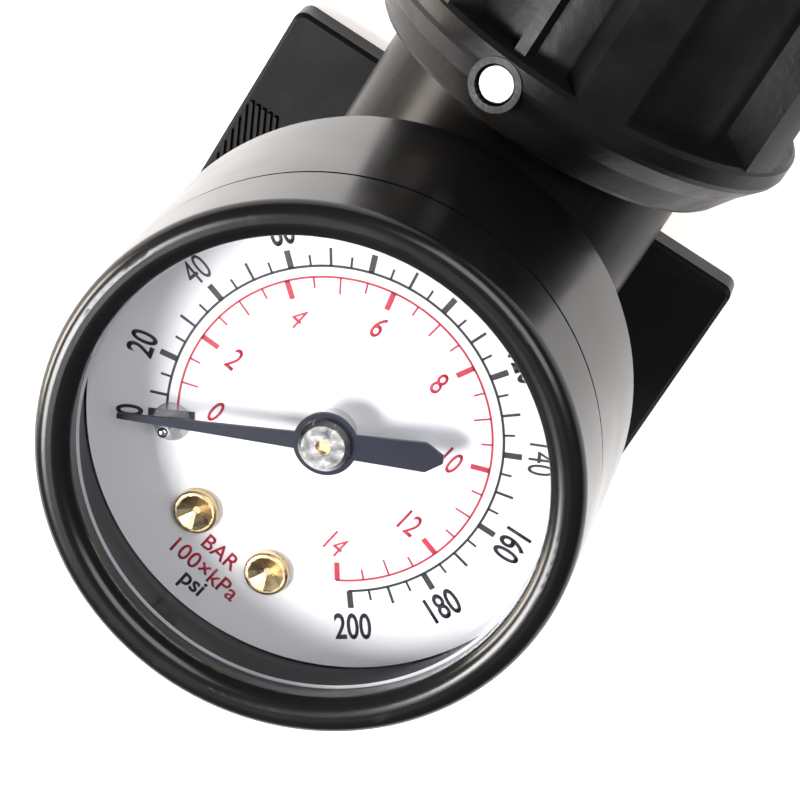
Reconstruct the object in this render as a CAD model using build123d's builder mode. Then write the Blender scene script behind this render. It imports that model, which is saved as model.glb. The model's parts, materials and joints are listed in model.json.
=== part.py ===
from build123d import *
import os
from math import asin, atan2, cos, degrees, radians, sin

os.makedirs("parts", exist_ok=True)

# High-pressure hand pump for air shocks, lying on its back with the gauge facing up.
# Millimetres. +Z is out of the dial, +Y runs along the barrel towards the handle.
# The origin lies under the gauge's centre, on the underside of the rest plate.

# ---- driving dimensions ----
axis_height = 19.0           # barrel axis above the floor
gauge_front = 58.0           # crest of the bezel above the floor
dial_turn = 9.0              # dial turned clockwise from the barrel axis, degrees

bezel_radius = 20.55         # nominal 40 mm gauge
window_radius = 17.7
case_radius = 20.5
case_wall = 1.2
case_depth = 24.5            # bezel crest to the rear of the case
seam_depth = 8.2             # bezel crest to the bezel's rear edge
dial_depth = 9.65            # bezel crest to the dial face
lens_thickness = 1.5
lens_depth = 2.9             # bezel crest to the lens

neck_radius = 13.2
head_start = -21.0           # lower end of the pump head, along Y
head_end = 21.9              # joint between the head and the barrel shroud

plate_width = 44.3
plate_thickness = 3.0
plate_start = -22.0
plate_end = 11.0

tube_radius = 11.0
bore_radius = 9.2
tube_start = 12.0
tube_end = 172.0

shroud_end = 62.0
band_radius = 18.9
groove_radius = 16.2
ridge_radius = 18.7
ridge_count = 7
ridge_top_width = 4.1
ridge_base_width = 6.4
ridge_angle = 11.6           # one ridge's angle from the top, towards +X
bleed_angle = -12.1          # bleed button's angle from the top, towards +X

slip_fit = 0.05              # radial clearance of running and slip fits

# ---- derived places ----
case_rear = gauge_front - case_depth
seam_height = gauge_front - seam_depth
dial_top = gauge_front - dial_depth
dial_thickness = 0.5
lens_top = gauge_front - lens_depth
lens_bottom = lens_top - lens_thickness
gasket_thickness = 0.6
spigot_top = lens_bottom - gasket_thickness
spigot_radius = case_radius - 0.55
case_inside = case_radius - case_wall
case_floor = case_rear + 1.4
seat_height = case_rear - 0.3       # top of the head's gauge boss
barrel_axis = Axis((0, 0, axis_height), (0, 1, 0))
gauge_axis = Axis((0, 0, 0), (0, 0, 1))


def across(y):
    """Plane square to the barrel at y, looking towards the handle."""
    return Plane(origin=(0, y, axis_height), x_dir=(1, 0, 0), z_dir=(0, 1, 0))


def dial_plane(height, angle=0.0):
    """Plane parallel to the dial, its x axis at an angle on the dial."""
    turn = radians(angle - dial_turn)
    return Plane(origin=(0, 0, height), x_dir=(cos(turn), sin(turn), 0), z_dir=(0, 0, 1))


def polar(radius, angle):
    """Point at a radius and an angle in degrees."""
    return (radius * cos(radians(angle)), radius * sin(radians(angle)))


def save(builder, name):
    """Label a finished piece and write it."""
    builder.part.label = name
    export_step(builder.part, f"parts/{name}.step")


# ---- pump head: neck under the gauge, with valve chamber, gauge boss and foot ----
port_depth = 9.0
port_radius = 5.0
passage_radius = 1.6
chamber_start = 2.0
chamber_radius = 4.5
seat_start = 9.5
seat_radius = 6.0
stem_radius = 4.9
stem_bottom = 23.0
gauge_boss_radius = 11.0
foot_width = 16.0

with BuildPart() as pump_head:
    with BuildSketch(across(head_start)):
        Circle(neck_radius)
    extrude(amount=head_end - head_start)
    chamfer(pump_head.faces().sort_by(Axis.Y)[0].edges(), 1.2)
    with BuildSketch(Plane.XY.offset(axis_height)):
        Circle(gauge_boss_radius)
    extrude(amount=seat_height - axis_height)
    with BuildSketch(Plane.XY.offset(plate_thickness)):
        with Locations((0, -3)):
            RectangleRounded(foot_width, 28, 2)
    extrude(amount=axis_height - plate_thickness)
    with BuildSketch(across(head_start)):
        Circle(port_radius)
    extrude(amount=port_depth, mode=Mode.SUBTRACT)
    with BuildSketch(across(head_start)):
        Circle(passage_radius)
    extrude(amount=chamber_start - head_start, mode=Mode.SUBTRACT)
    with BuildSketch(across(chamber_start)):
        Circle(chamber_radius)
    extrude(amount=seat_start - chamber_start, mode=Mode.SUBTRACT)
    with BuildSketch(across(seat_start)):
        Circle(seat_radius)
    extrude(amount=tube_start - seat_start, mode=Mode.SUBTRACT)
    with BuildSketch(across(tube_start)):
        Circle(tube_radius + slip_fit)
    extrude(amount=head_end - tube_start, mode=Mode.SUBTRACT)
    with BuildSketch(Plane.XY.offset(axis_height - 4)):
        Circle(passage_radius)
    extrude(amount=seat_height, mode=Mode.SUBTRACT)
    with BuildSketch(Plane.XY.offset(stem_bottom)):
        Circle(stem_radius)
    extrude(amount=seat_height, mode=Mode.SUBTRACT)
    with BuildSketch(Plane.XY.offset(plate_thickness)):
        with Locations((0, -12), (0, 6)):
            Circle(1.5)
    extrude(amount=2.6, mode=Mode.SUBTRACT)
save(pump_head, "pump_head")

# ---- rest plate, with a patch of fine anti-slip ridges on its left side ----
plate_middle = (plate_start + plate_end) / 2
plate_length = plate_end - plate_start
grip_ridges = 10
grip_pitch = 0.55
grip_lean = 115.0            # ridges' direction from +X, degrees
grip_width = 3.4
grip_length = 7.6
grip_place = (-plate_width / 2 + 0.45 + grip_width / 2, -2.1)

with BuildPart() as rest_plate:
    with BuildSketch():
        with Locations((0, plate_middle)):
            RectangleRounded(plate_width, plate_length, 1.0)
    extrude(amount=plate_thickness)
    chamfer(rest_plate.faces().sort_by(Axis.Z)[-1].edges(), 0.35)
    with BuildSketch(Plane.XY.offset(plate_thickness - 0.2)):
        for ridge in range(grip_ridges):
            step = (ridge - (grip_ridges - 1) / 2) * grip_pitch
            along = polar(step, grip_lean - 90)
            place = (grip_place[0] + along[0], grip_place[1] + along[1], 0)
            with Locations(Location(place, (0, 0, grip_lean))):
                Rectangle(2 * grip_length, 0.27)
        with Locations(grip_place):
            Rectangle(grip_width, grip_length, mode=Mode.INTERSECT)
    extrude(amount=0.55)
    with BuildSketch():
        with Locations((0, -12), (0, 6)):
            Circle(1.6)
    extrude(amount=plate_thickness, mode=Mode.SUBTRACT)
    with Locations((0, -12, 0.9), (0, 6, 0.9)):
        Cone(3.1, 1.4, 1.8, mode=Mode.SUBTRACT)
save(rest_plate, "rest_plate")

with BuildPart() as plate_screws:
    with Locations((0, -12, 0.95), (0, 6, 0.95)):
        Cone(2.95, 1.35, 1.7)
    with BuildSketch(Plane.XY.offset(1.6)):
        with Locations((0, -12), (0, 6)):
            Circle(1.4)
    extrude(amount=3.8)
    with BuildSketch(Plane.XY.offset(0.1)):
        with Locations((0, -12), (0, 6)):
            RegularPolygon(1.1, 6)
    extrude(amount=1.1, mode=Mode.SUBTRACT)
save(plate_screws, "plate_screws")

# ---- hose port: brass insert with a threaded mouth ----
hose_thread_radius = 3.0
hose_thread_length = 8.0
hex_depth = 4.0

with BuildPart() as hose_port_insert:
    with BuildSketch(across(head_start - hex_depth)):
        RegularPolygon(6.5, 6, major_radius=False)
    extrude(amount=hex_depth - 0.6)
    chamfer(hose_port_insert.faces().sort_by(Axis.Y)[0].edges(), 0.5)
    with BuildSketch(across(head_start - 0.6)):
        Circle(port_radius - slip_fit)
    extrude(amount=port_depth)
    with BuildSketch(across(head_start - hex_depth)):
        Circle(hose_thread_radius)
    extrude(amount=hose_thread_length, mode=Mode.SUBTRACT)
    with BuildSketch(across(head_start - hex_depth)):
        Circle(1.2)
    extrude(amount=port_depth + hex_depth, mode=Mode.SUBTRACT)
save(hose_port_insert, "hose_port_insert")

with BuildPart() as port_seal:
    with BuildSketch(across(head_start - 0.6)):
        Circle(6.4)
        Circle(port_radius, mode=Mode.SUBTRACT)
    extrude(amount=0.6)
save(port_seal, "port_seal")

# ---- check valve between the barrel and the gauge passage ----
spring_turns = 4
spring_pitch = 1.2

with BuildPart() as valve_seat:
    with BuildSketch(across(seat_start + 0.1)):
        Circle(seat_radius - slip_fit)
        Circle(1.5, mode=Mode.SUBTRACT)
    extrude(amount=tube_start - seat_start - 0.1)
save(valve_seat, "valve_seat")

with BuildPart() as valve_poppet:
    with BuildSketch(across(7.6)):
        Circle(3.4)
    extrude(amount=1.4)
    with BuildSketch(across(5.2)):
        Circle(1.2)
    extrude(amount=2.5)
save(valve_poppet, "valve_poppet")

with BuildPart() as poppet_seal:
    with BuildSketch(across(9.0)):
        Circle(3.0)
    extrude(amount=0.55)
save(poppet_seal, "poppet_seal")

with BuildPart() as valve_spring:
    for turn in range(spring_turns):
        with BuildSketch(across(chamber_start + 0.2 + turn * spring_pitch)):
            Circle(2.6)
            Circle(2.0, mode=Mode.SUBTRACT)
        extrude(amount=0.5)
    with BuildSketch(across(chamber_start + 0.4)):
        with Locations((2.3, 0)):
            Circle(0.22)
    extrude(amount=(spring_turns - 1) * spring_pitch)
save(valve_spring, "valve_spring")

# ---- barrel shroud: shoulder, band and ridged grip, with the bleed boss ----
band_start = 26.6
band_end = 28.6
boss_y = 26.0
boss_radius = 2.15
button_face = 18.6           # radius of the bleed button's face from the barrel axis
button_radius = 1.5
button_recess = 0.4
button_length = 2.7


def radial_plane(y, angle, radius):
    """Plane square to the barrel's radius, at an angle from the top towards +X."""
    lean = radians(angle)
    out = (sin(lean), 0, cos(lean))
    return Plane(origin=(radius * out[0], y, axis_height + radius * out[2]),
                 x_dir=(0, 1, 0), z_dir=out)


def bleed_plane(step):
    """Plane square to the bleed axis, a step out from the button's face."""
    return radial_plane(boss_y, bleed_angle, button_face + step)


ridge_pitch = 360 / ridge_count
grub_place = 53.0
grub_angles = (ridge_angle + 2.5 * ridge_pitch, ridge_angle + 4.5 * ridge_pitch)
grub_radius = 1.5

with BuildPart() as barrel_shroud:
    with BuildSketch(Plane.YZ):
        with BuildLine():
            Polyline((head_end + 0.1, axis_height + tube_radius + slip_fit),
                     (head_end + 0.1, axis_height + neck_radius + 2.2),
                     (head_end + 0.5, axis_height + neck_radius + 2.6),
                     (head_end + 2.7, axis_height + band_radius - 1.7),
                     (band_start - 0.2, axis_height + band_radius - 0.2),
                     (band_start + 0.3, axis_height + band_radius),
                     (band_end - 0.4, axis_height + band_radius),
                     (band_end, axis_height + band_radius - 0.4),
                     (band_end + 0.2, axis_height + groove_radius),
                     (shroud_end - 4.0, axis_height + groove_radius),
                     (shroud_end - 4.0, axis_height + band_radius),
                     (shroud_end - 1.0, axis_height + band_radius),
                     (shroud_end, axis_height + band_radius - 1.2),
                     (shroud_end, axis_height + tube_radius + slip_fit),
                     close=True)
        make_face()
    revolve(axis=barrel_axis)
    with BuildSketch(across(band_end - 0.3)):
        with PolarLocations(0, ridge_count, start_angle=ridge_angle - 90):
            Polygon((groove_radius - 0.6, -ridge_base_width / 2),
                    (ridge_radius, -ridge_top_width / 2),
                    (ridge_radius + 0.4, 0),
                    (ridge_radius, ridge_top_width / 2),
                    (groove_radius - 0.6, ridge_base_width / 2), align=None)
        Circle(ridge_radius, mode=Mode.INTERSECT)
    extrude(amount=shroud_end - 4.2 - band_end)
    with BuildSketch(across(boss_y)):
        with PolarLocations(0, 1, start_angle=bleed_angle - 90):
            Polygon((groove_radius - 0.6, -0.8), (ridge_radius - 0.9, -0.5),
                    (ridge_radius - 0.9, 0.5), (groove_radius - 0.6, 0.8), align=None)
    extrude(amount=10)
    with BuildSketch(bleed_plane(-2.6)):
        Circle(boss_radius)
    extrude(amount=2.6 + button_recess)
    with BuildSketch(bleed_plane(button_recess)):
        Circle(button_radius + 0.12)
    extrude(amount=-(button_recess + button_length + 1.9), mode=Mode.SUBTRACT)
    for angle in grub_angles:
        with BuildSketch(radial_plane(grub_place, angle, tube_radius)):
            Circle(grub_radius)
        extrude(amount=ridge_radius - tube_radius, mode=Mode.SUBTRACT)
save(barrel_shroud, "barrel_shroud")

with BuildPart() as shroud_screws:
    for angle in grub_angles:
        with BuildSketch(radial_plane(grub_place, angle, tube_radius + 0.1)):
            Circle(grub_radius - slip_fit)
        extrude(amount=groove_radius - tube_radius - 0.4)
        with BuildSketch(radial_plane(grub_place, angle, groove_radius - 1.6)):
            RegularPolygon(0.75, 6)
        extrude(amount=1.6, mode=Mode.SUBTRACT)
save(shroud_screws, "shroud_screws")

# ---- bleed button: sprung steel pin in the boss ----

with BuildPart() as bleed_button:
    with BuildSketch(bleed_plane(0)):
        Circle(button_radius)
    extrude(amount=-button_length)
    chamfer(bleed_button.edges().sort_by(Axis.Z)[-1], 0.12)
    with BuildSketch(bleed_plane(-1.7)):
        Circle(button_radius + 1)
        Circle(button_radius - 0.35, mode=Mode.SUBTRACT)
    extrude(amount=0.6, mode=Mode.SUBTRACT)
save(bleed_button, "bleed_button")

with BuildPart() as bleed_seal:
    with BuildSketch(bleed_plane(-1.68)):
        Circle(button_radius + 0.06)
        Circle(button_radius - 0.33, mode=Mode.SUBTRACT)
    extrude(amount=0.56)
save(bleed_seal, "bleed_seal")

with BuildPart() as bleed_spring:
    for turn in range(3):
        coil_plane = bleed_plane(-button_length - 0.3 - turn * 0.55)
        with BuildSketch(coil_plane):
            Circle(1.3)
            Circle(0.9, mode=Mode.SUBTRACT)
        extrude(amount=0.25)
    with BuildSketch(bleed_plane(-button_length - 1.4)):
        with Locations((1.1, 0)):
            Circle(0.18)
    extrude(amount=1.2)
save(bleed_spring, "bleed_spring")

# ---- barrel tube, top cap, bush and wiper ----
cap_start = 163.0
cap_end = 179.0
cap_radius = axis_height     # the cap's rim stands on the floor
rod_radius = 4.5
rod_flat = 3.9
bush_radius = 7.0
bush_start = 165.0
bush_end = 175.5

with BuildPart() as barrel_tube:
    with BuildSketch(across(tube_start + 0.1)):
        Circle(tube_radius)
        Circle(bore_radius, mode=Mode.SUBTRACT)
    extrude(amount=tube_end - tube_start - 0.1)
save(barrel_tube, "barrel_tube")

with BuildPart() as barrel_cap:
    with BuildSketch(Plane.YZ):
        with BuildLine():
            Polyline((cap_start, axis_height + tube_radius + slip_fit),
                     (cap_start, axis_height + 14.0),
                     (cap_start + 4.0, axis_height + cap_radius - 1.2),
                     (cap_start + 5.2, axis_height + cap_radius),
                     (cap_end - 4.2, axis_height + cap_radius),
                     (cap_end - 3.0, axis_height + cap_radius - 1.2),
                     (cap_end, axis_height + 11.5),
                     (cap_end, axis_height + bush_radius - 1.4),
                     (bush_end, axis_height + bush_radius - 1.4),
                     (bush_end, axis_height + bush_radius + slip_fit),
                     (tube_end + 0.1, axis_height + bush_radius + slip_fit),
                     (tube_end + 0.1, axis_height + tube_radius + slip_fit),
                     close=True)
        make_face()
    revolve(axis=barrel_axis)
    with BuildSketch(across(cap_start)):
        with PolarLocations(cap_radius + 1.1, 24, start_angle=90 + 7.5):
            Circle(2.0)
    extrude(amount=cap_end - cap_start, mode=Mode.SUBTRACT)
save(barrel_cap, "barrel_cap")

with BuildPart() as rod_bush:
    with BuildSketch(across(bush_start)):
        Circle(bush_radius)
        with BuildSketch(mode=Mode.PRIVATE) as key:
            Circle(rod_radius + slip_fit)
            Rectangle(2 * rod_radius + 1, 2 * (rod_flat + slip_fit), mode=Mode.INTERSECT)
        add(key.sketch, mode=Mode.SUBTRACT)
    extrude(amount=bush_end - bush_start)
    with BuildSketch(across(bush_start)):
        Circle(bore_radius - slip_fit)
        Circle(bush_radius - 0.1, mode=Mode.SUBTRACT)
    extrude(amount=tube_end - bush_start)
save(rod_bush, "rod_bush")

with BuildPart() as rod_wiper:
    with BuildSketch(across(bush_end + 0.2)):
        Circle(bush_radius - 1.45)
        with BuildSketch(mode=Mode.PRIVATE) as wiped:
            Circle(rod_radius + slip_fit)
            Rectangle(2 * rod_radius + 1, 2 * (rod_flat + slip_fit), mode=Mode.INTERSECT)
        add(wiped.sketch, mode=Mode.SUBTRACT)
    extrude(amount=cap_end - bush_end - 0.4)
save(rod_wiper, "rod_wiper")

# ---- plunger: piston, keyed rod and T-handle ----
piston_start = 12.6
piston_length = 9.0
rod_end = 197.0
hub_start = 183.0
hub_radius = 11.0
handle_place = 199.0
handle_half = 38.0
bar_radius = 7.5
grip_radius = 10.5
grip_start = 13.0
grip_end = 35.0

with BuildPart() as piston:
    with BuildSketch(across(piston_start)):
        Circle(bore_radius - 0.15)
    extrude(amount=piston_length)
    with BuildSketch(across(piston_start + 3.0)):
        Circle(bore_radius + 1)
        Circle(bore_radius - 1.7, mode=Mode.SUBTRACT)
    extrude(amount=2.2, mode=Mode.SUBTRACT)
    with BuildSketch(across(piston_start + 5.8)):
        Circle(rod_radius - 1.4)
    extrude(amount=piston_length, mode=Mode.SUBTRACT)
save(piston, "piston")

with BuildPart() as piston_ring:
    with BuildSketch(across(piston_start + 3.05)):
        Circle(bore_radius - slip_fit)
        Circle(bore_radius - 1.68, mode=Mode.SUBTRACT)
    extrude(amount=2.1)
    outer_rims = piston_ring.edges().filter_by(GeomType.CIRCLE).group_by(SortBy.RADIUS)[-1]
    fillet(outer_rims, 0.6)
save(piston_ring, "piston_ring")

with BuildPart() as piston_rod:
    with BuildSketch(across(piston_start + piston_length)):
        Circle(rod_radius)
        Rectangle(2 * rod_radius + 1, 2 * rod_flat, mode=Mode.INTERSECT)
    extrude(amount=rod_end - piston_start - piston_length)
    with BuildSketch(across(piston_start + 5.9)):
        Circle(rod_radius - 1.45)
    extrude(amount=piston_length - 5.9)
    with BuildSketch(across(rod_end - 9)):
        Circle(2.0)
    extrude(amount=9, mode=Mode.SUBTRACT)
save(piston_rod, "piston_rod")

with BuildPart() as handle_body:
    with BuildSketch(Plane.YZ):
        with BuildLine():
            Polyline((hub_start, axis_height),
                     (hub_start, axis_height + 8.5),
                     (hub_start + 1.5, axis_height + hub_radius - 1),
                     (handle_place + 6, axis_height + hub_radius))
            RadiusArc((handle_place + 6, axis_height + hub_radius),
                      (handle_place + 11.5, axis_height + 6.5), -7)
            Polyline((handle_place + 11.5, axis_height + 6.5),
                     (handle_place + 11.5, axis_height),
                     (hub_start, axis_height))
        make_face()
    revolve(axis=barrel_axis)
    with BuildSketch(Plane.YZ.offset(-handle_half + 2)):
        with Locations((handle_place, axis_height)):
            Circle(bar_radius)
    extrude(amount=2 * (handle_half - 2))
    for side in (-1, 1):
        with BuildSketch(Plane.YZ.offset(side * (grip_start - 0.1))):
            with Locations((handle_place, axis_height)):
                Circle(grip_radius - 0.4)
        extrude(amount=-side * 3)
    with BuildSketch(across(hub_start)):
        Circle(rod_radius + slip_fit)
        Rectangle(2 * rod_radius + 1, 2 * (rod_flat + slip_fit), mode=Mode.INTERSECT)
    extrude(amount=rod_end - hub_start + 0.1, mode=Mode.SUBTRACT)
    with BuildSketch(across(rod_end)):
        Circle(2.7)
    extrude(amount=20, mode=Mode.SUBTRACT)
    with BuildSketch(across(handle_place + 7.5)):
        Circle(5.0)
    extrude(amount=10, mode=Mode.SUBTRACT)
save(handle_body, "handle_body")

with BuildPart() as handle_screw:
    with BuildSketch(across(handle_place + 7.6)):
        Circle(4.6)
    extrude(amount=2.8)
    fillet(handle_screw.faces().sort_by(Axis.Y)[-1].edges(), 0.8)
    with BuildSketch(across(rod_end - 8)):
        Circle(1.95)
    extrude(amount=handle_place + 7.6 - rod_end + 8)
    with BuildSketch(across(handle_place + 8.6)):
        RegularPolygon(2.3, 6)
    extrude(amount=3, mode=Mode.SUBTRACT)
save(handle_screw, "handle_screw")

for side, side_name in ((-1, "left"), (1, "right")):
    with BuildPart() as handle_grip:
        with BuildSketch(Plane.YZ.offset(side * grip_start)):
            with Locations((handle_place, axis_height)):
                Circle(grip_radius)
                Circle(bar_radius + slip_fit, mode=Mode.SUBTRACT)
        extrude(amount=side * (grip_end - grip_start))
        for groove in range(5):
            step = side * (grip_start + 3.2 + groove * 3.6)
            with BuildSketch(Plane.YZ.offset(step)):
                with Locations((handle_place, axis_height)):
                    Circle(grip_radius + 1)
                    Circle(grip_radius - 0.7, mode=Mode.SUBTRACT)
            extrude(amount=side * 1.2, mode=Mode.SUBTRACT)
    save(handle_grip, f"handle_grip_{side_name}")

    with BuildPart() as end_cap:
        with BuildSketch(Plane.YZ.offset(side * (grip_end + 0.1))):
            with Locations((handle_place, axis_height)):
                Circle(grip_radius)
        extrude(amount=side * (handle_half - grip_end - 0.1))
        outer = end_cap.faces().sort_by(Axis.X)[0 if side < 0 else -1]
        fillet(outer.edges(), 2.0)
        with BuildSketch(Plane.YZ.offset(side * grip_end)):
            with Locations((handle_place, axis_height)):
                Circle(bar_radius + slip_fit)
        extrude(amount=side * (handle_half - 2 - grip_end + 0.05), mode=Mode.SUBTRACT)
    save(end_cap, f"handle_end_cap_{side_name}")

# ---- gauge: case, bezel, lens, gasket and stem ----
with BuildPart() as gauge_case:
    with BuildSketch(Plane.XZ):
        with BuildLine():
            Polyline((5.4, case_rear), (case_radius - 0.9, case_rear))
            RadiusArc((case_radius - 0.9, case_rear), (case_radius, case_rear + 0.9), -0.9)
            Polyline((case_radius, case_rear + 0.9), (case_radius, seam_height - 0.1),
                     (spigot_radius, seam_height - 0.1), (spigot_radius, spigot_top),
                     (case_inside, spigot_top), (case_inside, case_floor),
                     (5.4, case_floor), (5.4, case_rear))
        make_face()
    revolve(axis=gauge_axis)
save(gauge_case, "gauge_case")

outer_round = 1.1
inner_round = 1.2
with BuildPart() as gauge_bezel:
    with BuildSketch(Plane.XZ) as bezel_profile:
        with BuildLine():
            Polyline((spigot_radius + slip_fit, seam_height), (bezel_radius - 0.15, seam_height),
                     (bezel_radius, seam_height + 0.4), (bezel_radius, gauge_front),
                     (window_radius, gauge_front), (window_radius + 0.3, lens_top + 0.05),
                     (spigot_radius + slip_fit, lens_top + 0.05), close=True)
        make_face()
        fillet(max(bezel_profile.vertices(), key=lambda v: v.X + v.Y + v.Z), outer_round)
        fillet(max(bezel_profile.vertices(), key=lambda v: v.Y + v.Z - v.X), inner_round)
    revolve(axis=gauge_axis)
save(gauge_bezel, "gauge_bezel")

with BuildPart() as gauge_lens:
    with BuildSketch(Plane.XY.offset(lens_bottom)):
        Circle(spigot_radius)
    extrude(amount=lens_thickness)
    chamfer(gauge_lens.edges(), 0.15)
save(gauge_lens, "gauge_lens")

with BuildPart() as lens_gasket:
    with BuildSketch(Plane.XY.offset(spigot_top)):
        Circle(spigot_radius)
        Circle(case_inside - 0.5, mode=Mode.SUBTRACT)
    extrude(amount=gasket_thickness)
save(lens_gasket, "lens_gasket")

with BuildPart() as stem_seal:
    with BuildSketch(Plane.XY.offset(seat_height)):
        Circle(9)
        Circle(5.4, mode=Mode.SUBTRACT)
    extrude(amount=case_rear - seat_height)
save(stem_seal, "stem_seal")

# ---- gauge stem and socket block, with the Bourdon tube and its tip ----
tube_ring_radius = 16.0
tube_section = (1.6, 5.0)
tube_wall = 0.25
tube_first_angle = -79.5
tube_sweep = 239.0
tip_angle = tube_first_angle + tube_sweep
block_top = case_floor + 2.5
tube_bottom = block_top + 1.1
tube_top = tube_bottom + tube_section[1]
dial_screw_radius = 12.87
dial_screw_angle = 16.1

with BuildPart() as gauge_stem:
    with BuildSketch(Plane.XY.offset(stem_bottom + 0.2)):
        Circle(stem_radius - slip_fit)
    extrude(amount=case_floor - stem_bottom - 0.1)
    with BuildSketch(dial_plane(case_floor)):
        with Locations((0, -6.2)):
            RectangleRounded(13, 22.4, 1)
    extrude(amount=block_top - case_floor)
    with BuildSketch(dial_plane(block_top - 0.1)):
        with Locations((0, -tube_ring_radius)):
            Rectangle(5.2, 2.8)
    extrude(amount=tube_top - block_top + 0.1)
    with BuildSketch(Plane.XY.offset(stem_bottom)):
        Circle(1.2)
    extrude(amount=block_top - stem_bottom - 1, mode=Mode.SUBTRACT)
save(gauge_stem, "gauge_stem")

ring_plane = Plane(dial_plane(0, tube_first_angle).origin,
                   x_dir=dial_plane(0, tube_first_angle).x_dir,
                   z_dir=-dial_plane(0, tube_first_angle).y_dir)
with BuildPart() as bourdon_tube:
    with BuildSketch(ring_plane):
        with Locations((tube_ring_radius, (tube_bottom + tube_top) / 2)):
            RectangleRounded(*tube_section, 0.7)
            RectangleRounded(tube_section[0] - 2 * tube_wall, tube_section[1] - 2 * tube_wall,
                             0.45, mode=Mode.SUBTRACT)
    revolve(axis=gauge_axis, revolution_arc=tube_sweep)
save(bourdon_tube, "bourdon_tube")

with BuildPart() as bourdon_tip:
    with BuildSketch(dial_plane(tube_bottom, tip_angle)):
        with Locations((tube_ring_radius, 1.45)):
            Rectangle(2.2, 2.6)
    extrude(amount=tube_top - tube_bottom)
save(bourdon_tip, "bourdon_tip")

# ---- movement: plates, pillars, sector gear, pinion, link and hairspring ----
module = 0.25
pinion_teeth = 12
sector_teeth = 72            # of a full wheel
pinion_pitch = module * pinion_teeth / 2
sector_pitch = module * sector_teeth / 2
pivot_x = -(pinion_pitch + sector_pitch)
addendum = module
dedendum = 1.25 * module
tooth_height = 0.62          # reaches a little below the root circle
tooth_base = 0.46
tooth_slope = 76             # degrees
arbor_radius = 0.55
plate_gap = 7.2
lower_plate = block_top + 0.1
upper_plate = lower_plate + 0.8 + plate_gap
gear_height = lower_plate + 3.4
gear_thickness = 0.8
tail_radius = 2.8
tail_angle = 158.0
pillar_places = ((2.4, 3.3), (2.4, -3.3), (-12.6, -3.2))

with BuildPart() as movement_plate_lower:
    with BuildSketch(dial_plane(lower_plate)):
        with Locations((pivot_x / 2, 0)):
            SlotCenterToCenter(11.5, 9.0)
        with Locations((0, 0), (pivot_x, 0)):
            Circle(arbor_radius + slip_fit, mode=Mode.SUBTRACT)
        with Locations(*pillar_places):
            Circle(0.45, mode=Mode.SUBTRACT)
        with Locations((-4.5, 2.6), (-4.5, -2.6)):
            Circle(0.75, mode=Mode.SUBTRACT)
    extrude(amount=0.8)
save(movement_plate_lower, "movement_plate_lower")

with BuildPart() as movement_plate_upper:
    with BuildSketch(dial_plane(upper_plate)):
        with Locations((pivot_x / 2, 0)):
            SlotCenterToCenter(11.5, 9.0)
        with Locations((0, 0), (pivot_x, 0)):
            Circle(arbor_radius + slip_fit, mode=Mode.SUBTRACT)
        with Locations(*pillar_places):
            Circle(0.45, mode=Mode.SUBTRACT)
    extrude(amount=0.8)
save(movement_plate_upper, "movement_plate_upper")

with BuildPart() as movement_pillars:
    with BuildSketch(dial_plane(lower_plate + 0.8)):
        with Locations(*pillar_places):
            Circle(0.7)
    extrude(amount=plate_gap)
    with BuildSketch(dial_plane(lower_plate)):
        with Locations(*pillar_places):
            Circle(0.4)
    extrude(amount=upper_plate + 0.8 - lower_plate)
save(movement_pillars, "movement_pillars")

with BuildPart() as movement_screws:
    with BuildSketch(dial_plane(lower_plate + 0.8)):
        with Locations((-4.5, 2.6), (-4.5, -2.6)):
            Circle(1.2)
    extrude(amount=0.6)
    with BuildSketch(dial_plane(lower_plate)):
        with Locations((-4.5, 2.6), (-4.5, -2.6)):
            Circle(0.7)
    extrude(amount=0.8)
save(movement_screws, "movement_screws")

with BuildPart() as sector_gear:
    with BuildSketch(dial_plane(gear_height)):
        with Locations((pivot_x, 0)):
            Circle(1.6)
            with PolarLocations(0, 1, start_angle=-22):
                with Locations((4.0, 0)):
                    Rectangle(8.0, 1.6)
        with BuildLine():
            root = sector_pitch - dedendum
            low, high = -54.5, 10.5
            rim = root - 1.5
            middle = (low + high) / 2
            shift = (pivot_x, 0)
            at = [(Vector(*polar(r, a)) + Vector(*shift)) for r, a in
                  ((root, low), (root, middle), (root, high),
                   (rim, high), (rim, middle), (rim, low))]
            ThreePointArc(at[0], at[1], at[2])
            Line(at[2], at[3])
            ThreePointArc(at[3], at[4], at[5])
            Line(at[5], at[0])
        make_face()
        for tooth in range(13):
            angle = -52.5 + 360 / sector_teeth / 2 + tooth * 360 / sector_teeth
            with Locations(Location((pivot_x, 0, 0), (0, 0, angle))):
                with Locations((sector_pitch + addendum - tooth_height / 2, 0)):
                    Trapezoid(tooth_base, tooth_height, tooth_slope, rotation=-90)
        tail = (pivot_x + polar(tail_radius, tail_angle)[0], polar(tail_radius, tail_angle)[1])
        with Locations(tail):
            Circle(0.8)
        with Locations(Location((pivot_x, 0, 0), (0, 0, tail_angle))):
            with Locations((tail_radius / 2, 0)):
                Rectangle(tail_radius, 1.2)
        with Locations((pivot_x, 0)):
            Circle(arbor_radius, mode=Mode.SUBTRACT)
        with Locations(tail):
            Circle(0.4, mode=Mode.SUBTRACT)
    extrude(amount=gear_thickness)
save(sector_gear, "sector_gear")

with BuildPart() as sector_arbor:
    with BuildSketch(dial_plane(lower_plate)):
        with Locations((pivot_x, 0)):
            Circle(arbor_radius)
    extrude(amount=upper_plate + 0.7 - lower_plate)
save(sector_arbor, "sector_arbor")

link_height = tube_top + 0.2
link_end = polar(tube_ring_radius, tip_angle + 4.5)
with BuildPart() as tail_pin:
    with BuildSketch(dial_plane(gear_height)):
        with Locations(tail):
            Circle(0.4)
    extrude(amount=link_height + 0.7 - gear_height)
save(tail_pin, "tail_pin")

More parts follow.
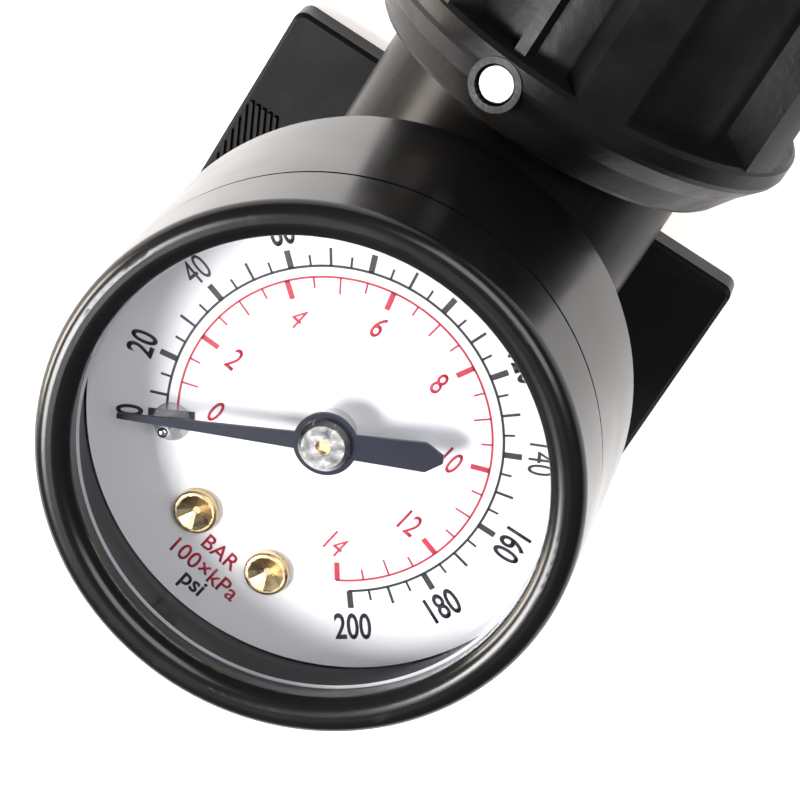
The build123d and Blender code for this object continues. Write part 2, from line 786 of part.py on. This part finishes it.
link_reach = Vector(*link_end) - Vector(*tail)
link_angle = degrees(atan2(link_reach.Y, link_reach.X))
with BuildPart() as bourdon_link:
    with BuildSketch(dial_plane(link_height)):
        with Locations(tail, link_end):
            Circle(0.85)
        with Locations(Location(((tail[0] + link_end[0]) / 2, (tail[1] + link_end[1]) / 2, 0),
                                (0, 0, link_angle))):
            Rectangle(link_reach.length, 0.8)
        with Locations(tail):
            Circle(0.45, mode=Mode.SUBTRACT)
    extrude(amount=0.4)
save(bourdon_link, "bourdon_link")

pointer_rise = 2.6           # underside of the pointer above the dial
pointer_height = dial_top + pointer_rise
hub_top = dial_top + 3.6
with BuildPart() as pinion:
    with BuildSketch(dial_plane(gear_height - 0.3)):
        Circle(pinion_pitch - dedendum)
        for tooth in range(pinion_teeth):
            angle = (tooth + 0.5) * 360 / pinion_teeth
            with Locations(Location((0, 0, 0), (0, 0, angle))):
                with Locations((pinion_pitch + addendum - tooth_height / 2, 0)):
                    Trapezoid(tooth_base, tooth_height, tooth_slope, rotation=-90)
    extrude(amount=gear_thickness + 0.6)
    with BuildSketch(dial_plane(lower_plate)):
        Circle(arbor_radius)
    extrude(amount=hub_top - 0.4 - lower_plate)
save(pinion, "pinion")

collet_height = upper_plate - 1.8
with BuildPart() as hairspring_collet:
    with BuildSketch(dial_plane(collet_height)):
        Circle(0.95)
        Circle(arbor_radius + 0.01, mode=Mode.SUBTRACT)
    extrude(amount=0.9)
save(hairspring_collet, "hairspring_collet")

coil_gap = 0.42
half_turns = 9
with BuildPart() as hairspring:
    with BuildSketch(dial_plane(collet_height + 0.2)):
        with BuildLine() as coil:
            start = 1.25
            for half in range(half_turns):
                end = start + coil_gap / 2
                side = 1 if half % 2 == 0 else -1
                RadiusArc((side * start, 0), (-side * end, 0), -(start + end) / 2)
                start = end
        trace(line_width=0.12)
    extrude(amount=0.5)
save(hairspring, "hairspring")

# ---- dial, its screws and bush, the stop pin, and the pointer ----
zero_angle = 216.3
stop_radius = 12.5
stop_pin_radius = 0.48
needle_half_at_stop = 0.36
stop_angle = zero_angle + degrees(asin((needle_half_at_stop + stop_pin_radius + 0.12)
                                       / stop_radius))
screw_places = [polar(dial_screw_radius, -90 + side * dial_screw_angle) for side in (-1, 1)]
stop_place = polar(stop_radius, stop_angle)
bush_bore = arbor_radius + slip_fit

with BuildPart() as dial_posts:
    with BuildSketch(dial_plane(block_top)):
        with Locations(*screw_places):
            Circle(1.4)
            Circle(0.6, mode=Mode.SUBTRACT)
    extrude(amount=dial_top - dial_thickness - block_top)
save(dial_posts, "dial_posts")

with BuildPart() as dial_plate:
    with BuildSketch(dial_plane(dial_top - dial_thickness)):
        Circle(case_inside - 0.1)
        Circle(1.55, mode=Mode.SUBTRACT)
        with Locations(*screw_places):
            Circle(0.65, mode=Mode.SUBTRACT)
        with Locations(stop_place):
            Circle(0.55, mode=Mode.SUBTRACT)
    extrude(amount=dial_thickness)
save(dial_plate, "dial_plate")

with BuildPart() as dial_screws:
    with BuildSketch(dial_plane(dial_top)):
        with Locations(*screw_places):
            Circle(1.75)
    extrude(amount=0.75)
    fillet(dial_screws.faces().group_by(Axis.Z)[-1].edges(), 0.25)
    with BuildSketch(dial_plane(dial_top - 4.0)):
        with Locations(*screw_places):
            Circle(0.55)
    extrude(amount=4.1)
    for place in screw_places:
        with BuildSketch(dial_plane(dial_top + 0.1)):
            with Locations(place):
                RegularPolygon(0.3, 12)
        with BuildSketch(dial_plane(dial_top + 0.75)):
            with Locations(place):
                RegularPolygon(1.4, 12)
        loft(mode=Mode.SUBTRACT)
save(dial_screws, "dial_screws")

with BuildPart() as dial_bush:
    with BuildSketch(dial_plane(upper_plate + 0.8)):
        Circle(1.5)
        Circle(bush_bore, mode=Mode.SUBTRACT)
    extrude(amount=dial_top - upper_plate - 0.8)
    with BuildSketch(dial_plane(dial_top)):
        Circle(1.8)
        Circle(bush_bore, mode=Mode.SUBTRACT)
    extrude(amount=1.6)
    chamfer(dial_bush.faces().sort_by(Axis.Z)[-1].outer_wire().edges(), 0.25)
save(dial_bush, "dial_bush")

with BuildPart() as zero_stop_pin:
    with BuildSketch(dial_plane(upper_plate + 1.2)):
        with Locations(stop_place):
            Circle(stop_pin_radius)
    extrude(amount=pointer_height + 0.25 - upper_plate - 1.2)
    fillet(zero_stop_pin.faces().sort_by(Axis.Z)[-1].edges(), 0.4)
save(zero_stop_pin, "zero_stop_pin")

with BuildPart() as stop_pin_collar:
    with BuildSketch(dial_plane(dial_top)):
        with Locations(stop_place):
            Circle(1.5)
            Circle(stop_pin_radius + 0.02, mode=Mode.SUBTRACT)
    extrude(amount=0.35)
    fillet(stop_pin_collar.faces().sort_by(Axis.Z)[-1].outer_wire().edges(), 0.2)
save(stop_pin_collar, "stop_pin_collar")

with BuildPart() as pointer:
    with BuildSketch(dial_plane(pointer_height, zero_angle)):
        with BuildLine():
            Polyline((16.0, 0.2), (0, 0.72), (0, 0.9), (-7.6, 1.15), (-8.9, 0.3),
                     (-8.9, -0.3), (-7.6, -1.15), (0, -0.9), (0, -0.72), (16.0, -0.2),
                     close=True)
        make_face()
        Circle(2.45)
        Circle(1.3, mode=Mode.SUBTRACT)
    extrude(amount=0.3)
save(pointer, "pointer")

with BuildPart() as pointer_hub:
    with BuildSketch(dial_plane(pointer_height - 0.4)):
        Circle(1.25)
    extrude(amount=0.8)
    with BuildSketch(dial_plane(pointer_height + 0.31)):
        Circle(2.0)
    extrude(amount=hub_top - pointer_height - 0.31)
    chamfer(pointer_hub.faces().sort_by(Axis.Z)[-1].edges(), 0.35)
    with BuildSketch(dial_plane(pointer_height - 0.5)):
        Circle(arbor_radius + 0.02)
    extrude(amount=4, mode=Mode.SUBTRACT)
save(pointer_hub, "pointer_hub")
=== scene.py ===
import json
from math import atan2, cos, pi, radians, sin, sqrt

import bmesh
import bpy
from mathutils import Matrix, Vector


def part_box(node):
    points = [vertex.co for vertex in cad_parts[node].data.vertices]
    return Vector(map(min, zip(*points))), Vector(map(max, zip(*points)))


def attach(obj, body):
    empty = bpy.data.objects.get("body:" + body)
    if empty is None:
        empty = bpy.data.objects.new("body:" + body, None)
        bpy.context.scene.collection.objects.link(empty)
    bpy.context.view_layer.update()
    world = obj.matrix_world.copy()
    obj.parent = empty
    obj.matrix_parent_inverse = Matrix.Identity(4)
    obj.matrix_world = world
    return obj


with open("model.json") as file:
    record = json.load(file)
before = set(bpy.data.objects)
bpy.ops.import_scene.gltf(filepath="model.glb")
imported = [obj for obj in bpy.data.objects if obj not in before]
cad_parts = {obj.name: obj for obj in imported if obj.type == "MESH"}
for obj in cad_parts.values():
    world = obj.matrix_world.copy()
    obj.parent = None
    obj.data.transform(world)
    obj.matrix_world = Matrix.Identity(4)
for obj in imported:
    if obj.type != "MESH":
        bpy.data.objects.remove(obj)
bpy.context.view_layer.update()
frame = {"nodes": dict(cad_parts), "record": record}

MM = 0.001

# ---- places, worked out from the frame ----
dial_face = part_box("dial_plate")[1].z
lens_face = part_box("gauge_lens")[1].z
bezel_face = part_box("gauge_bezel")[1].z
dial_turn = radians(9.0)             # the dial sits clockwise of the barrel axis
zero_angle = radians(218.25)         # the zero mark stands in place of the 5 psi mark
full_psi = 200
full_sweep = radians(270.0)
bar_per_psi = 0.0689476
print_height = 0.02 * MM


def on_dial(radius, angle):
    """Point on the dial face; angle 0 is the dial's right and 90 degrees its top."""
    return (radius * cos(angle - dial_turn), radius * sin(angle - dial_turn))


def psi_angle(psi):
    """Angle of a pressure in psi on the dial."""
    return radians(225.0) - full_sweep * psi / full_psi


# ---- node materials ----
def link(tree, a, b):
    tree.links.new(a, b)


def noise(tree, scale, detail=3.0):
    """Noise in object space, so that it stays put when a body moves."""
    place = tree.nodes.new("ShaderNodeTexCoord")
    node = tree.nodes.new("ShaderNodeTexNoise")
    node.inputs["Scale"].default_value = scale
    node.inputs["Detail"].default_value = detail
    link(tree, place.outputs["Object"], node.inputs["Vector"])
    return node.outputs["Fac"]


def spread(tree, value, low, high, start=0.3, end=0.7):
    """Maps a texture's middle range to low..high."""
    node = tree.nodes.new("ShaderNodeMapRange")
    node.inputs["From Min"].default_value = start
    node.inputs["From Max"].default_value = end
    node.inputs["To Min"].default_value = low
    node.inputs["To Max"].default_value = high
    link(tree, value, node.inputs["Value"])
    return node.outputs["Result"]


def two_tone(tree, value, first, second):
    """Colour that varies softly between two tones."""
    ramp = tree.nodes.new("ShaderNodeValToRGB")
    ramp.color_ramp.elements[0].position = 0.3
    ramp.color_ramp.elements[1].position = 0.7
    ramp.color_ramp.elements[0].color = (*first, 1)
    ramp.color_ramp.elements[1].color = (*second, 1)
    link(tree, value, ramp.inputs["Fac"])
    return ramp.outputs["Color"]


def bump(tree, shader, value, strength, distance):
    """Fine relief from a texture."""
    node = tree.nodes.new("ShaderNodeBump")
    node.inputs["Strength"].default_value = strength
    node.inputs["Distance"].default_value = distance
    link(tree, value, node.inputs["Height"])
    link(tree, node.outputs["Normal"], shader.inputs["Normal"])


def edge_wear(tree, colour, worn, amount):
    """Lighter tone where convex edges are rubbed."""
    geometry = tree.nodes.new("ShaderNodeNewGeometry")
    sharp = spread(tree, geometry.outputs["Pointiness"], 0.0, amount, 0.56, 0.64)
    mix = tree.nodes.new("ShaderNodeMix")
    mix.data_type = "RGBA"
    mix.inputs["B"].default_value = (*worn, 1)
    link(tree, sharp, mix.inputs["Factor"])
    link(tree, colour, mix.inputs["A"])
    return mix.outputs["Result"]


def surface(name, tones, rough, metallic=0.0, grain=400.0, cloud=60.0, relief=0.0, depth=0.02 * MM,
            wear=None, wear_amount=0.5, ior=1.5, alpha=1.0):
    """Principled material with cloudy colour, varying roughness and fine relief."""
    mat = bpy.data.materials.new(name)
    mat.use_nodes = True
    tree = mat.node_tree
    shader = tree.nodes["Principled BSDF"]
    shader.inputs["Metallic"].default_value = metallic
    shader.inputs["IOR"].default_value = ior
    shader.inputs["Alpha"].default_value = alpha
    colour = two_tone(tree, noise(tree, cloud), *tones)
    if wear:
        colour = edge_wear(tree, colour, wear, wear_amount)
    link(tree, colour, shader.inputs["Base Color"])
    link(tree, spread(tree, noise(tree, cloud * 2.5, 5.0), *rough), shader.inputs["Roughness"])
    if relief:
        bump(tree, shader, noise(tree, grain, 4.0), relief, depth)
    return mat


def lens_material():
    """Clear thin acrylic: a mirror as strong as its Fresnel reflection, and clear otherwise."""
    mat = bpy.data.materials.new("clear_lens")
    mat.use_nodes = True
    tree = mat.node_tree
    shader = tree.nodes["Principled BSDF"]
    shader.inputs["Metallic"].default_value = 1.0
    fresnel = tree.nodes.new("ShaderNodeFresnel")
    fresnel.inputs["IOR"].default_value = 1.46
    link(tree, fresnel.outputs["Fac"], shader.inputs["Alpha"])
    link(tree, two_tone(tree, noise(tree, 90), (0.93, 0.95, 1.0), (1.0, 1.0, 1.0)),
         shader.inputs["Base Color"])
    link(tree, spread(tree, noise(tree, 300, 5.0), 0.015, 0.05), shader.inputs["Roughness"])
    return mat


materials = {
    "moulded_black": surface("moulded_black", ((0.0045, 0.0043, 0.0043), (0.0075, 0.007, 0.007)),
                             (0.22, 0.32), grain=2600, relief=0.12, depth=0.01 * MM,
                             wear=(0.03, 0.028, 0.028), ior=1.18),
    "gauge_black": surface("gauge_black", ((0.0035, 0.0034, 0.0034), (0.006, 0.0055, 0.0055)),
                           (0.20, 0.26), grain=900, relief=0.03, depth=0.01 * MM,
                           wear=(0.02, 0.02, 0.02), ior=1.38),
    "pointer_black": surface("pointer_black", ((0.012, 0.014, 0.024), (0.019, 0.022, 0.036)),
                             (0.26, 0.36), grain=3000, relief=0.05, ior=1.3),
    "clear_lens": lens_material(),
    "dial_white": surface("dial_white", ((0.84, 0.84, 0.87), (0.88, 0.88, 0.90)), (0.32, 0.45),
                          grain=3500, relief=0.05, cloud=40),
    "brass": surface("brass", ((0.74, 0.53, 0.27), (0.86, 0.68, 0.42)), (0.22, 0.38), metallic=1.0,
                     grain=2500, relief=0.08, cloud=500),
    "bright_steel": surface("bright_steel", ((0.62, 0.61, 0.60), (0.78, 0.77, 0.76)), (0.14, 0.30),
                            metallic=1.0, grain=3000, relief=0.08, cloud=600),
    "chromed_rod": surface("chromed_rod", ((0.74, 0.75, 0.77), (0.82, 0.83, 0.85)), (0.05, 0.12),
                           metallic=1.0, grain=1200, relief=0.02),
    "black_anodised": surface("black_anodised", ((0.020, 0.020, 0.022), (0.030, 0.030, 0.033)),
                              (0.28, 0.38), metallic=0.85, grain=2500, relief=0.08),
    "rubber": surface("rubber", ((0.014, 0.014, 0.014), (0.024, 0.024, 0.024)), (0.55, 0.75),
                      grain=2000, relief=0.2),
    "grip_rubber": surface("grip_rubber", ((0.016, 0.016, 0.017), (0.030, 0.030, 0.031)),
                           (0.55, 0.8), grain=1800, relief=0.45, depth=0.05 * MM),
    "handle_black": surface("handle_black", ((0.014, 0.014, 0.015), (0.024, 0.023, 0.024)),
                            (0.3, 0.45), grain=2200, relief=0.25, wear=(0.08, 0.08, 0.08)),
    "clear_collar": surface("clear_collar", ((0.50, 0.52, 0.55), (0.62, 0.64, 0.66)), (0.1, 0.2),
                            grain=1500, relief=0.1, alpha=0.35),
    "white_acetal": surface("white_acetal", ((0.72, 0.71, 0.67), (0.80, 0.79, 0.75)), (0.35, 0.5),
                            grain=1500, relief=0.1),
    "spring_steel": surface("spring_steel", ((0.42, 0.40, 0.37), (0.55, 0.53, 0.50)), (0.2, 0.35),
                            metallic=1.0, grain=2500, relief=0.05),
}
rough_nylon = surface("rough_nylon", ((0.005, 0.005, 0.005), (0.011, 0.0105, 0.0105)), (0.24, 0.38),
                      grain=1300, relief=0.45, depth=0.05 * MM, cloud=160,
                      wear=(0.10, 0.095, 0.085), wear_amount=0.9, ior=1.19)
ink_black = surface("ink_black", ((0.006, 0.006, 0.012), (0.016, 0.016, 0.026)), (0.35, 0.5),
                    cloud=900)
ink_red = surface("ink_red", ((0.40, 0.006, 0.030), (0.50, 0.012, 0.045)), (0.35, 0.5), cloud=900)

button_steel = surface("button_steel", ((0.22, 0.21, 0.20), (0.32, 0.30, 0.29)), (0.36, 0.48),
                       metallic=1.0, grain=900, relief=0.35, depth=0.03 * MM, cloud=700)
# pale grey of the painted highlight ring at the lens's edge
painted_glint = surface("painted_glint", ((0.36, 0.37, 0.40), (0.46, 0.47, 0.50)), (0.35, 0.45),
                      cloud=300)

slot_of = {part["node"]: part["material_slot"] for part in frame["record"]["subparts"]}
own_material = {"barrel_shroud": rough_nylon, "bleed_button": button_steel}
for name, node in frame["nodes"].items():
    node.data.materials.clear()
    node.data.materials.append(own_material.get(name, materials[slot_of[name]]))


# ---- printed dial ----
def finish_piece(name, mesh, mat):
    """Adds a piece that stays on the pump's body."""
    mesh.materials.clear()
    mesh.materials.append(mat)
    piece = bpy.data.objects.new(name, mesh)
    bpy.context.scene.collection.objects.link(piece)
    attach(piece, "pump")


def add_prism(bm, corners, low, high):
    """Closed flat piece from an outline on the dial."""
    bottom = [bm.verts.new((x, y, low)) for x, y in corners]
    top = [bm.verts.new((x, y, high)) for x, y in corners]
    bm.faces.new(list(reversed(bottom)))
    bm.faces.new(top)
    count = len(corners)
    for i in range(count):
        j = (i + 1) % count
        bm.faces.new((bottom[i], bottom[j], top[j], top[i]))


def add_arc(bm, radius, width, start, end):
    """Printed arc line of a scale."""
    steps = 120
    outer = [on_dial(radius + width / 2, start + (end - start) * i / steps)
             for i in range(steps + 1)]
    inner = [on_dial(radius - width / 2, start + (end - start) * i / steps)
             for i in range(steps + 1)]
    low, high = dial_face, dial_face + print_height
    rings = [[bm.verts.new((x, y, z)) for x, y in line]
             for line, z in ((outer, low), (inner, low), (inner, high), (outer, high))]
    for i in range(steps):
        for k in range(4):
            a, b = rings[k], rings[(k + 1) % 4]
            bm.faces.new((a[i], a[i + 1], b[i + 1], b[i]))
    bm.faces.new([ring[0] for ring in rings])
    bm.faces.new([ring[-1] for ring in reversed(rings)])


def add_tick(bm, angle, inner, outer, width):
    """Printed radial mark."""
    along = Vector(on_dial(1, angle))
    across = Vector((-along.y, along.x)) * width / 2
    corners = [along * inner - across, along * outer - across,
               along * outer + across, along * inner + across]
    add_prism(bm, [tuple(c) for c in corners], dial_face, dial_face + print_height)


def text_mesh(words, height, squeeze, weight):
    """Mesh of generic lettering, centred, with its capitals' height given."""
    curve = bpy.data.curves.new(words, "FONT")
    curve.body = words
    curve.align_x = "CENTER"
    curve.align_y = "CENTER"
    curve.size = height / capital_share
    curve.offset = 0.0 if "4" in words else weight     # thickening spoils the counter of a 4
    curve.resolution_u = 4
    letter = bpy.data.objects.new(words, curve)
    mesh = bpy.data.meshes.new_from_object(letter)
    bpy.data.objects.remove(letter)
    xs = [v.co.x for v in mesh.vertices]
    ys = [v.co.y for v in mesh.vertices]
    centre = Vector(((min(xs) + max(xs)) / 2, (min(ys) + max(ys)) / 2, 0))
    mesh.transform(Matrix.Diagonal((squeeze, 1, 1, 1)) @ Matrix.Translation(-centre))
    return mesh


def add_text(bm, words, height, place, upward, squeeze, weight):
    """Adds lettering to the print, its middle at place and its top towards upward."""
    mesh = text_mesh(words, height, squeeze, weight)
    turn = Matrix.Rotation(upward - pi / 2 - dial_turn, 4, "Z")
    x, y = on_dial(sqrt(place[0] ** 2 + place[1] ** 2), atan2(place[1], place[0]))
    mesh.transform(Matrix.Translation((x, y, dial_face + print_height)) @ turn)
    start = len(bm.verts)
    bm.from_mesh(mesh)
    bm.verts.ensure_lookup_table()
    new = set(bm.verts[start:])
    faces = [f for f in bm.faces if f.verts[0] in new]
    grown = bmesh.ops.extrude_face_region(bm, geom=faces)
    low = [g for g in grown["geom"] if isinstance(g, bmesh.types.BMVert)]
    bmesh.ops.translate(bm, verts=low, vec=(0, 0, -print_height))
    bpy.data.meshes.remove(mesh)


def to_mesh(bm, name):
    bmesh.ops.recalc_face_normals(bm, faces=bm.faces)
    mesh = bpy.data.meshes.new(name)
    bm.to_mesh(mesh)
    bm.free()
    return mesh


capital_share = 0.73                 # height of a capital as a share of the font's size
word_squeeze = 0.95
full_bar = 14
arc_overrun = radians(0.4)
psi_radius = 12.9 * MM
psi_numeral_ring = 15.8 * MM
bar_radius = 12.05 * MM
bar_numeral_ring = 9.1 * MM
bar_zero_angle = radians(214.7)
# step in psi, far radius and width of the black marks
psi_marks = ((20, 14.3 * MM, 0.46 * MM), (10, 14.3 * MM, 0.22 * MM), (5, 13.75 * MM, 0.18 * MM))
# step in half bars, near radius and width of the red marks
bar_marks = ((4, 10.6 * MM, 0.42 * MM), (2, 10.75 * MM, 0.15 * MM), (1, 11.2 * MM, 0.15 * MM))
zero_mark = (10.7 * MM, 14.35 * MM, 0.72 * MM)
# words under the red scale, with their height and their distance below the dial's middle
red_words = (("BAR", 1.35 * MM, 13.8 * MM), ("100×kPa", 1.45 * MM, 15.75 * MM))


def mark_size(value, marks):
    """Reach and width of the boldest mark whose step divides the value."""
    return next(size for step, *size in marks if value % step == 0)


def on_ring(radius, angle):
    return (radius * cos(angle), radius * sin(angle))


def psi_print():
    """Black outer scale, with its numerals turned to face outwards."""
    bm = bmesh.new()
    add_arc(bm, psi_radius, 0.2 * MM, psi_angle(full_psi) - arc_overrun, zero_angle)
    for psi in range(10, full_psi + 1, 5):
        outer, width = mark_size(psi, psi_marks)
        add_tick(bm, psi_angle(psi), psi_radius, outer, width)
    add_tick(bm, zero_angle, *zero_mark)
    for psi in range(0, full_psi + 1, 20):
        angle = psi_angle(psi) if psi else zero_angle
        upward = angle if psi < 180 else angle + pi
        place = on_ring(psi_numeral_ring, angle)
        add_text(bm, str(psi), 2.15 * MM, place, upward, 0.66, 0.05 * MM)
    add_text(bm, "psi", 1.45 * MM, (0, -17.5 * MM), pi / 2, word_squeeze, 0.04 * MM)
    finish_piece("dial_print_black", to_mesh(bm, "dial_print_black"), ink_black)


def bar_print():
    """Red inner scale, with upright numerals."""
    bm = bmesh.new()
    far_end = psi_angle(full_bar / bar_per_psi) - arc_overrun
    add_arc(bm, bar_radius, 0.17 * MM, far_end, zero_angle)
    for half_bar in range(2, 2 * full_bar + 1):
        inner, width = mark_size(half_bar, bar_marks)
        add_tick(bm, psi_angle(half_bar / 2 / bar_per_psi), inner, bar_radius, width)
    for bar in range(0, full_bar + 1, 2):
        angle = psi_angle(bar / bar_per_psi) if bar else bar_zero_angle
        place = on_ring(bar_numeral_ring, angle)
        add_text(bm, str(bar), 1.9 * MM, place, pi / 2, 0.68, 0.022 * MM)
    for words, height, below in red_words:
        add_text(bm, words, height, (0, -below), pi / 2, word_squeeze, 0.02 * MM)
    finish_piece("dial_print_red", to_mesh(bm, "dial_print_red"), ink_red)


# ---- painted glint at the lens's edge, just under the bezel's lip ----
def lens_edge():
    """Thin pale ring at the lens's edge, a painted highlight that stands for the glint of its rim.
    """
    inner = 17.72 * MM
    outer = 17.96 * MM
    top = lens_face + 0.05 * MM
    steps = 240
    bm = bmesh.new()
    rings = []
    for r, z in ((inner, lens_face), (outer, lens_face), (outer, top), (inner, top)):
        rings.append([bm.verts.new((r * cos(2 * pi * i / steps), r * sin(2 * pi * i / steps), z))
                      for i in range(steps)])
    for i in range(steps):
        j = (i + 1) % steps
        for k in range(4):
            a, b = rings[k], rings[(k + 1) % 4]
            bm.faces.new((a[i], a[j], b[j], b[i]))
    # the ring is a painted glint, not a part of the gauge
    finish_piece("lens_edge", to_mesh(bm, "lens_edge"), painted_glint)


psi_print()
bar_print()
lens_edge()


# ---- floor, light and camera ----
floor_glow = (0.80, 0.12)            # the floor's glow near the object and far from it
floor_glow_reach = (0.12, 0.6)       # distances where the glow starts and stops falling
# name, place, size, power and colour of each light
lights = (
    ("key", (-0.37, -0.36, 0.79), (0.36, 0.36), 17, (1, 1, 1)),
    ("fill", (0.25, 0.55, 0.75), (0.7, 0.5), 8, (1, 1, 1)),
    ("side", (-0.80, -0.37, 0.22), (0.5, 0.25), 13, (1.0, 0.91, 0.80)),
)
view_tilt = radians(23.05)           # camera's lean from straight above the dial
view_azimuth = radians(91.3)         # lean direction, measured from +X
view_distance = 250.0 * MM
view_aim = Vector((2.78 * MM, 9.13 * MM, bezel_face))
barrel_slant = radians(56.8)         # slant of the barrel in the picture
view_lens = 158.3                    # millimetres
sensor_width = 36.0                  # millimetres


def stage_floor():
    """Pale floor that glows softly under the object."""
    bpy.ops.mesh.primitive_plane_add(size=6.0, location=(0, 0, 0))
    floor = bpy.context.object
    floor.name = "floor"
    mat = bpy.data.materials.new("floor_white")
    mat.use_nodes = True
    tree = mat.node_tree
    shader = tree.nodes["Principled BSDF"]
    shader.inputs["Base Color"].default_value = (0.5, 0.5, 0.5, 1)
    shader.inputs["Roughness"].default_value = 0.9
    shader.inputs["Emission Color"].default_value = (1, 0.95, 0.92, 1)
    place = tree.nodes.new("ShaderNodeTexCoord")
    far = tree.nodes.new("ShaderNodeVectorMath")
    far.operation = "LENGTH"
    link(tree, place.outputs["Object"], far.inputs[0])
    link(tree, spread(tree, far.outputs["Value"], *floor_glow, *floor_glow_reach),
         shader.inputs["Emission Strength"])
    floor.data.materials.append(mat)


def soft_light(name, place, size, power, colour):
    """Area light that points at the gauge's front."""
    data = bpy.data.lights.new(name, "AREA")
    data.shape = "RECTANGLE"
    data.size, data.size_y = size
    data.energy = power
    data.color = colour
    lamp = bpy.data.objects.new(name, data)
    bpy.context.scene.collection.objects.link(lamp)
    lamp.location = place
    aim = Vector((0, 0, bezel_face))
    lamp.rotation_euler = (aim - Vector(place)).to_track_quat("-Z", "Y").to_euler()


def studio_world():
    """Faint even light from all round."""
    world = bpy.data.worlds.new("studio")
    world.use_nodes = True
    background = world.node_tree.nodes["Background"]
    background.inputs["Color"].default_value = (0.9, 0.93, 1.0, 1)
    background.inputs["Strength"].default_value = 0.10
    bpy.context.scene.world = world
    bpy.context.scene.view_settings.view_transform = "Standard"


def place_camera():
    """Camera above the dial, leaning towards the barrel and turned about its own axis."""
    back = Vector((sin(view_tilt) * cos(view_azimuth), sin(view_tilt) * sin(view_azimuth),
                   cos(view_tilt)))
    barrel = Vector((0, 1, 0))
    upright = (barrel - back * barrel.dot(back)).normalized()
    sideways = upright.cross(back)
    right = upright * cos(barrel_slant) + sideways * sin(barrel_slant)
    up = back.cross(right)
    data = bpy.data.cameras.new("camera")
    data.lens = view_lens
    data.sensor_width = sensor_width
    data.clip_start = 0.01
    data.clip_end = 20.0
    camera = bpy.data.objects.new("camera", data)
    bpy.context.scene.collection.objects.link(camera)
    turn = Matrix((right, up, back)).transposed().to_4x4()
    camera.matrix_world = Matrix.Translation(view_aim + back * view_distance) @ turn
    bpy.context.scene.camera = camera


stage_floor()
for light in lights:
    soft_light(*light)
studio_world()
place_camera()
